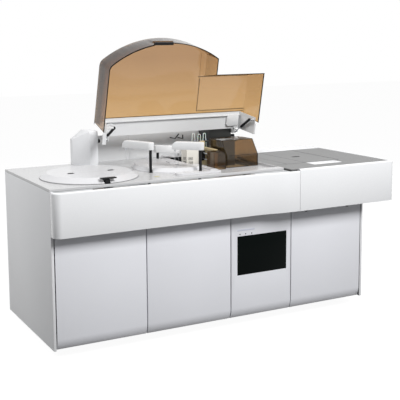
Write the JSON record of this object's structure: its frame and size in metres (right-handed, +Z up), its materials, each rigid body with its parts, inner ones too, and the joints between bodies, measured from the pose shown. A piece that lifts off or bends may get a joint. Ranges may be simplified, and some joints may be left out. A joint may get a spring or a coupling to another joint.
{
  "type": "immunoassay analyzer",
  "caption": "Floor-standing immunoassay analyzer with an open amber cover, white deck with probe arms, white fascia band, service doors below and a grey worktop at the right.",
  "frame": {"origin": "middle of the overall bounding box in plan, on the floor under the feet", "axes": "+Z up, +X to the user's right along the front, -Y towards the user, at the doors"},
  "size_m": [2.131, 0.868, 1.6345],
  "materials": {
    "white_cabinet": "fine textured powder coat, warm white",
    "white_fascia": "moulded white fascia, semi-gloss",
    "door_white": "smooth painted sheet steel doors",
    "frame_steel": "welded steel frame, grey paint",
    "rubber_feet": "levelling feet with rubber pads",
    "worktop_grey": "grey laminate worktop, satin",
    "ledge_grey": "glossy grey strip",
    "black_glass": "black tinted glass, glossy",
    "deck_white": "white moulded deck and covers",
    "arm_white": "white moulded arm covers",
    "black_part": "black moulded and anodised parts",
    "steel_bright": "bare steel shafts, pins and needles",
    "amber_acrylic": "brown tinted clear acrylic",
    "cream_plastic": "cream moulded cuvette magazine",
    "dark_grey": "dark grey painted housing",
    "zinc_sheet": "zinc-plated sheet steel units",
    "tank_white": "translucent white polyethylene tanks",
    "hood_white": "white painted pressed steel"
  },
  "bodies": {
    "cabinet": {"base_frame": "frame_steel", "levelling_feet": "rubber_feet", "side_panel_left": "white_cabinet", "side_panel_right": "white_cabinet", "rear_panel": "white_cabinet", "power_inlet": "black_part", "fascia_left": "white_fascia", "ledge_strip": "ledge_grey", "module_housing": "white_fascia", "worktop_grey": "worktop_grey", "hatch_lid": "worktop_grey", "inset_plate": "white_fascia", "service_units": "zinc_sheet", "fluid_tanks": "tank_white", "deck": "deck_white", "wash_wells": "deck_white", "reagent_cover_front": "deck_white", "reagent_cover_rear": "deck_white", "lid_sensor": "black_part", "reagent_tub": "deck_white", "incubator_cover": "deck_white", "deck_drives": "zinc_sheet", "wash_hub": "deck_white", "low_tray": "deck_white", "louvre_box": "deck_white", "mixer_motors": "black_part", "hopper_cover": "amber_acrylic", "hopper_loader": "black_part", "feeder_cover": "amber_acrylic", "transfer_rails": "steel_bright", "cuvette_magazine": "cream_plastic", "tower": "white_cabinet", "rear_wall": "white_cabinet", "rear_box": "dark_grey", "hand_knobs": "black_part", "shelf_plate": "dark_grey", "cover_brackets": "hood_white"},
    "cover": {"hood_frame": "hood_white", "hood_shell": "amber_acrylic"},
    "spring_rod_left": {"spring_rod_left": "steel_bright"},
    "spring_rod_right": {"spring_rod_right": "steel_bright"},
    "spring_tube_left": {"spring_tube_left": "black_part"},
    "spring_tube_right": {"spring_tube_right": "black_part"},
    "door_1": {"door_1": "door_white"},
    "door_2": {"door_2": "door_white"},
    "door_3": {"door_3": "door_white", "door_window": "black_glass"},
    "door_4": {"door_4": "door_white"},
    "reagent_carousel": {"reagent_carousel": "cream_plastic"},
    "incubator_ring": {"incubator_ring": "steel_bright"},
    "reagent_lift": {"reagent_arm_column": "black_part"},
    "reagent_arm": {"reagent_arm": "arm_white", "reagent_probe": "steel_bright"},
    "wash_lift": {"wash_arm_column": "black_part"},
    "wash_arm": {"wash_arm": "arm_white", "wash_probe": "steel_bright"},
    "sample_lift": {"sample_arm_column": "black_part"},
    "sample_arm": {"sample_arm": "arm_white", "sample_probe": "steel_bright"},
    "gripper": {"gripper": "black_part"}
  },
  "joints": [
    {"name": "cover_hinge", "type": "hinge", "parent": "cabinet", "child": "cover", "pos_m": [-0.0655, 0.259, 1.074], "axis": [1, 0, 0], "range_deg": [0, 78]},
    {"name": "spring_left_pivot", "type": "hinge", "parent": "cabinet", "child": "spring_rod_left", "pos_m": [-0.5125, 0.268, 1.048], "axis": [1, 0, 0], "range_deg": [0, 74.44]},
    {"name": "spring_left_stroke", "type": "slide", "parent": "spring_rod_left", "child": "spring_tube_left", "axis": [0, -0.8808, 0.4736], "range_m": [-0.03325, 0]},
    {"name": "spring_right_pivot", "type": "hinge", "parent": "cabinet", "child": "spring_rod_right", "pos_m": [0.3915, 0.268, 1.048], "axis": [1, 0, 0], "range_deg": [0, 74.44]},
    {"name": "spring_right_stroke", "type": "slide", "parent": "spring_rod_right", "child": "spring_tube_right", "axis": [0, -0.8808, 0.4736], "range_m": [-0.03325, 0]},
    {"name": "door_1_hinge", "type": "hinge", "parent": "cabinet", "child": "door_1", "pos_m": [-1.0375, -0.337, 0.35], "axis": [0, 0, -1], "range_deg": [0, 95]},
    {"name": "door_2_hinge", "type": "hinge", "parent": "cabinet", "child": "door_2", "pos_m": [-0.0325, -0.337, 0.35], "axis": [0, 0, 1], "range_deg": [0, 95]},
    {"name": "door_3_hinge", "type": "hinge", "parent": "cabinet", "child": "door_3", "pos_m": [0.3715, -0.337, 0.35], "axis": [0, 0, 1], "range_deg": [0, 95]},
    {"name": "door_4_hinge", "type": "hinge", "parent": "cabinet", "child": "door_4", "pos_m": [0.8765, -0.337, 0.35], "axis": [0, 0, 1], "range_deg": [0, 95]},
    {"name": "reagent_carousel_turn", "type": "hinge", "parent": "cabinet", "child": "reagent_carousel", "pos_m": [-0.7435, -0.064, 0.8], "axis": [0, 0, 1], "continuous": true},
    {"name": "incubator_turn", "type": "hinge", "parent": "cabinet", "child": "incubator_ring", "pos_m": [-0.2655, 0.009, 0.86], "axis": [0, 0, 1], "continuous": true},
    {"name": "reagent_lift", "type": "slide", "parent": "cabinet", "child": "reagent_lift", "axis": [0, 0, 1], "range_m": [-0.05, 0]},
    {"name": "reagent_turn", "type": "hinge", "parent": "reagent_lift", "child": "reagent_arm", "pos_m": [-0.3985, -0.116, 1.04], "axis": [0, 0, 1], "range_deg": [-100, 23]},
    {"name": "wash_lift", "type": "slide", "parent": "cabinet", "child": "wash_lift", "axis": [0, 0, 1], "range_m": [-0.032, 0]},
    {"name": "wash_turn", "type": "hinge", "parent": "wash_lift", "child": "wash_arm", "pos_m": [-0.1925, 0.214, 1.04], "axis": [0, 0, -1], "range_deg": [0, 95]},
    {"name": "sample_lift", "type": "slide", "parent": "cabinet", "child": "sample_lift", "axis": [0, 0, 1], "range_m": [-0.05, 0]},
    {"name": "sample_turn", "type": "hinge", "parent": "sample_lift", "child": "sample_arm", "pos_m": [-0.1655, -0.264, 1.04], "axis": [0, 0, -1], "range_deg": [0, 100]},
    {"name": "gripper_slide", "type": "slide", "parent": "cabinet", "child": "gripper", "axis": [0, 1, 0], "range_m": [-0.078, 0.04]}
  ],
  "couplings": [
    {"joint": "spring_left_pivot", "follows": "cover_hinge", "ratio": 0.9537},
    {"joint": "spring_left_stroke", "follows": "cover_hinge", "m_per_rad": -0.02435},
    {"joint": "spring_right_pivot", "follows": "cover_hinge", "ratio": 0.9537},
    {"joint": "spring_right_stroke", "follows": "cover_hinge", "m_per_rad": -0.02435}
  ]
}
